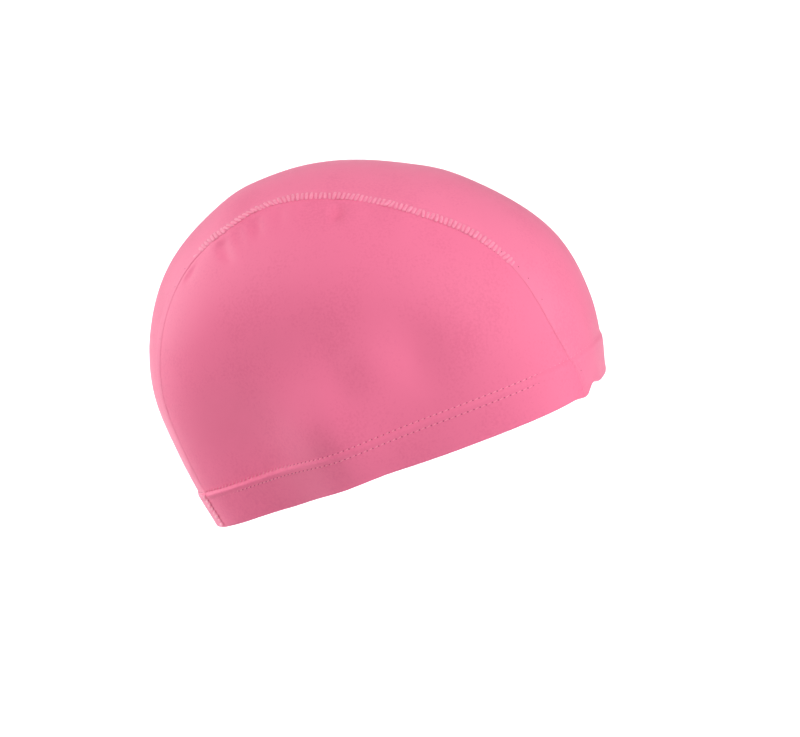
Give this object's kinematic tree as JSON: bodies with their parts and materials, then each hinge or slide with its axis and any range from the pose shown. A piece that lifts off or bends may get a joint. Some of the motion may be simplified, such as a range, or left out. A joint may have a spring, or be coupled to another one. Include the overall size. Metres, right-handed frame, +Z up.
{
  "type": "swim cap",
  "caption": "Stretch-knit swim cap in its worn form: a centre panel over the crown, a side panel over each ear and a turned-up hem.",
  "frame": {"origin": "the inside of the crown, where the top of the head touches; the cap is in its worn form, tilted as it is worn", "axes": "+X towards the forehead, +Y towards the wearer's left ear, +Z up"},
  "size_m": [0.2089, 0.167, 0.166],
  "materials": {
    "centre_panel": "pink coated stretch knit, satin sheen",
    "side_panels": "pink coated stretch knit, satin sheen",
    "hem": "pink coated stretch knit turned up double, with two rows of stitching"
  },
  "bodies": {
    "root": {"centre_panel": "centre_panel", "side_panel_left": "side_panels", "side_panel_right": "side_panels", "hem_turn_up": "hem"}
  },
  "joints": []
}
